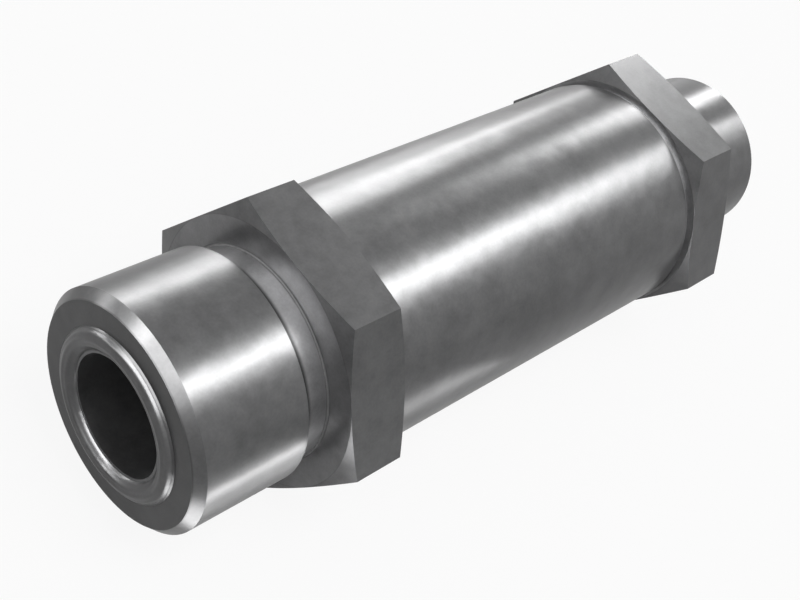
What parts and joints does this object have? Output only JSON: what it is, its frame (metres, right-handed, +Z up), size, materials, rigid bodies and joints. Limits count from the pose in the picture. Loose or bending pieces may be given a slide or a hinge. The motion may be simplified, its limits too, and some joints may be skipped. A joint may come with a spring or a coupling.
{
  "type": "inline non-return valve",
  "caption": "Inline hydraulic non-return valve: turned hexagon-bar body and screwed end fitting, with a spring-closed sliding poppet inside.",
  "frame": {"origin": "centre of the inlet drilling at the inlet port's end face, on the valve's axis", "axes": "+X along the valve's axis from inlet to outlet, the way the flow runs; +Z up, square to the two hexagon flats that it lies on"},
  "size_m": [0.103, 0.0366, 0.0318],
  "materials": {
    "body_steel": "satin, turned and lightly blasted bare steel",
    "hard_steel": "ground and hardened steel",
    "spring_steel": "drawn spring wire",
    "rubber": "black moulded rubber",
    "plastic": "off-white low friction plastic"
  },
  "bodies": {
    "housing": {"valve_body": "body_steel", "end_fitting": "body_steel", "seat_ring": "hard_steel", "seat_o_ring": "rubber", "seat_backup_ring": "plastic", "seat_snap_ring": "spring_steel", "return_spring": "spring_steel", "stop_sleeve": "hard_steel", "preload_shim": "hard_steel", "joint_o_ring": "rubber", "joint_backup_ring": "plastic"},
    "poppet_group": {"poppet": "hard_steel", "poppet_seal": "plastic", "seal_retainer": "hard_steel", "retainer_screw": "hard_steel", "guide_ring": "plastic", "spring_washer": "hard_steel"}
  },
  "joints": [
    {"name": "poppet_lift", "type": "slide", "parent": "housing", "child": "poppet_group", "axis": [1, 0, 0], "range_m": [0, 0.005], "stiffness_N_per_m": 1760, "springref_m": -0.0048, "deforming": ["return_spring"]}
  ]
}
